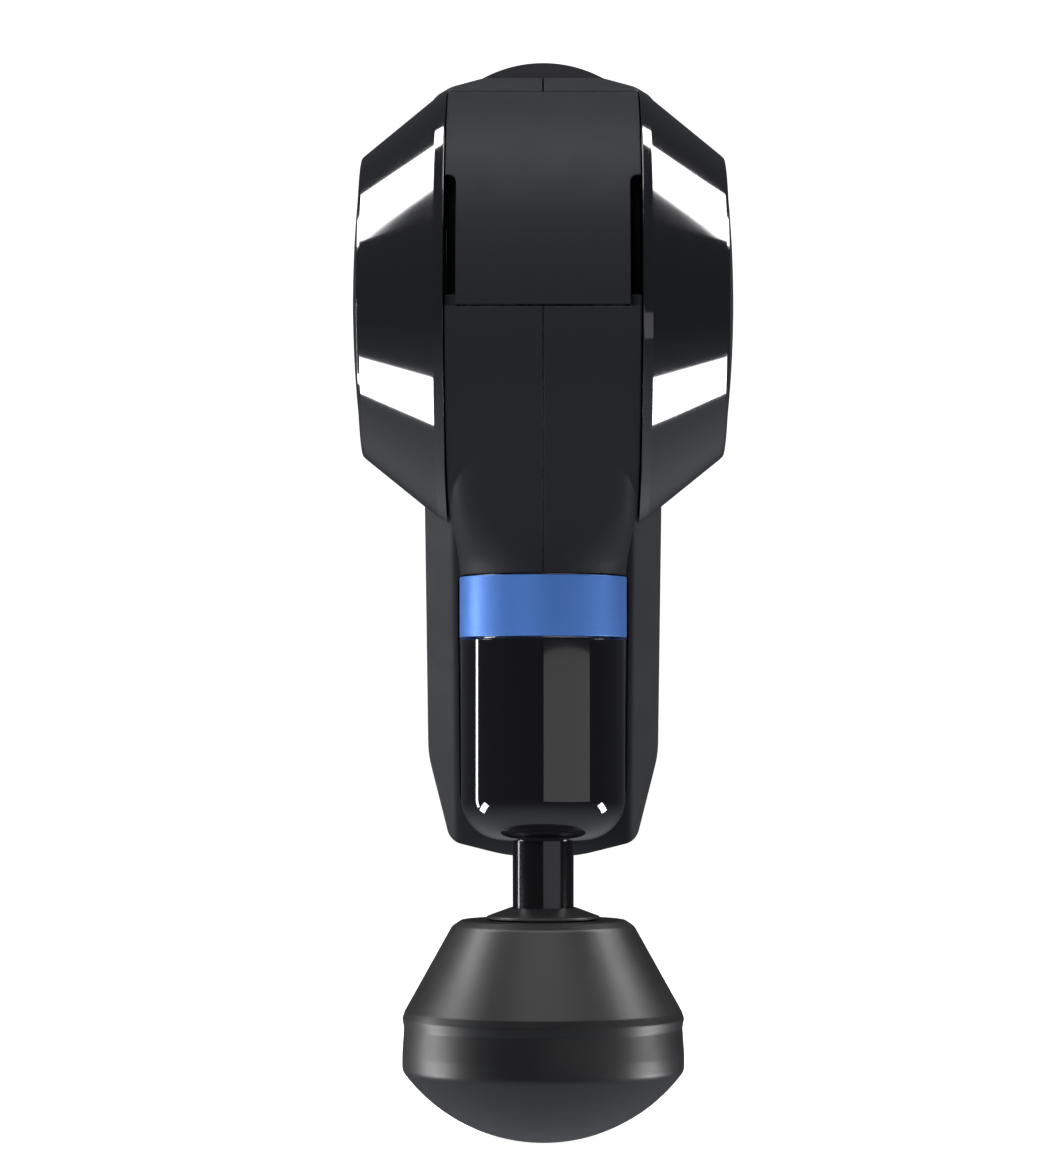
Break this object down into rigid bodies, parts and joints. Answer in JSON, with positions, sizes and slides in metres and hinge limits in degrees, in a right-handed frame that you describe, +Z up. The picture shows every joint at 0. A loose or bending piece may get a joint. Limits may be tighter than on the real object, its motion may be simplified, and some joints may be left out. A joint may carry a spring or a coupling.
{
  "type": "massage gun",
  "caption": "Handheld percussive massager with a tilting drive arm, side pods, a loop handle, an internal crank drive and a pull-off round head.",
  "frame": {"origin": "under the middle of the object at rest, at the height of the massage head's tip", "axes": "+Z up along the output shaft, from the massage head towards the handle's crest; -Y is the front, where the arm is; +X is the right, where the release button is"},
  "size_m": [0.0758, 0.1606, 0.2177],
  "materials": {
    "shell_plastic": "fine matte texture, charcoal",
    "pod_plastic": "satin to glossy black",
    "piano_black": "high gloss black",
    "blue_anodised": "satin blue anodised",
    "head_rubber": "matte, soft sheen",
    "grip_rubber": "matte black",
    "button_rubber": "matte dark grey",
    "seal_rubber": "matte black",
    "shaft_steel": "polished, blackened",
    "bright_steel": "ground steel",
    "aluminium": "machined",
    "copper": "enamelled copper winding",
    "bronze": "sintered bronze",
    "cell_wrap": "shrink wrap",
    "case_plastic": "moulded",
    "board_green": "solder mask",
    "lens_plastic": "dark clear window"
  },
  "bodies": {
    "body": {"left_shell": "shell_plastic", "right_shell": "shell_plastic", "left_pod": "pod_plastic", "right_pod": "pod_plastic", "left_pod_cap": "pod_plastic", "right_pod_ring": "pod_plastic", "front_grip": "grip_rubber", "rear_grip": "grip_rubber", "top_grip": "grip_rubber", "panel_bezel": "piano_black", "display_lens": "lens_plastic", "control_board": "board_green", "main_board": "board_green", "charge_port": "bright_steel", "motor_housing": "aluminium", "motor_end_cap": "aluminium", "stator": "copper", "front_bearing": "bright_steel", "rear_bearing": "bright_steel", "motor_screw_1": "bright_steel", "motor_screw_2": "bright_steel", "motor_screw_3": "bright_steel", "shell_screw_1": "bright_steel", "shell_screw_2": "bright_steel", "shell_screw_3": "bright_steel", "shell_screw_4": "bright_steel", "pivot_hub": "aluminium", "battery_case": "case_plastic", "cell_left": "cell_wrap", "cell_right": "cell_wrap", "lock_spring": "bright_steel"},
    "arm": {"arm_shell_left": "shell_plastic", "arm_shell_right": "shell_plastic", "hood": "shell_plastic", "blue_ring": "blue_anodised", "barrel": "piano_black", "guide_tube": "aluminium", "upper_bushing": "bronze", "lower_bushing": "bronze", "shaft_seal": "seal_rubber", "detent_disc": "bright_steel", "left_pivot_bush": "bronze", "right_pivot_bush": "bronze"},
    "shaft": {"output_shaft": "shaft_steel", "wrist_pin": "bright_steel"},
    "conrod": {"connecting_rod": "bright_steel", "big_end_bearing": "bright_steel"},
    "crank": {"motor_shaft": "bright_steel", "rotor": "bright_steel", "crank_disc": "bright_steel"},
    "head": {"head_collar": "piano_black", "head_body": "head_rubber"},
    "release": {"release_button": "pod_plastic", "lock_plate": "bright_steel"},
    "power": {"power_button": "button_rubber"},
    "speed_down": {"speed_down_button": "button_rubber"},
    "speed_up": {"speed_up_button": "button_rubber"}
  },
  "joints": [
    {"name": "arm_tilt", "type": "hinge", "parent": "body", "child": "arm", "pos_m": [0, -0.03691, 0.1666], "axis": [-1, 0, 0], "range_deg": [0, 90]},
    {"name": "crank_spin", "type": "hinge", "parent": "body", "child": "crank", "pos_m": [0, -0.03691, 0.1666], "axis": [1, 0, 0], "continuous": true},
    {"name": "shaft_stroke", "type": "slide", "parent": "arm", "child": "shaft", "axis": [0, 0, -1], "range_m": [-0.008, 0.008]},
    {"name": "conrod_swing", "type": "hinge", "parent": "shaft", "child": "conrod", "pos_m": [0, -0.03691, 0.13562], "axis": [1, 0, 0], "range_deg": [0, 28.96]},
    {"name": "head_pull", "type": "slide", "parent": "shaft", "child": "head", "axis": [0, 0, -1], "range_m": [0, 0.028]},
    {"name": "release_press", "type": "slide", "parent": "body", "child": "release", "axis": [-1, 0, 0], "range_m": [0, 0.003], "stiffness_N_per_m": 600, "springref_m": -0.002, "deforming": ["lock_spring"]},
    {"name": "power_press", "type": "slide", "parent": "body", "child": "power", "axis": [0, -0.7845, -0.6201], "range_m": [0, 0.0008], "stiffness_N_per_m": 800, "springref_m": -0.0005},
    {"name": "speed_down_press", "type": "slide", "parent": "body", "child": "speed_down", "axis": [0, -0.7845, -0.6201], "range_m": [0, 0.0008], "stiffness_N_per_m": 800, "springref_m": -0.0005},
    {"name": "speed_up_press", "type": "slide", "parent": "body", "child": "speed_up", "axis": [0, -0.7845, -0.6201], "range_m": [0, 0.0008], "stiffness_N_per_m": 800, "springref_m": -0.0005}
  ]
}
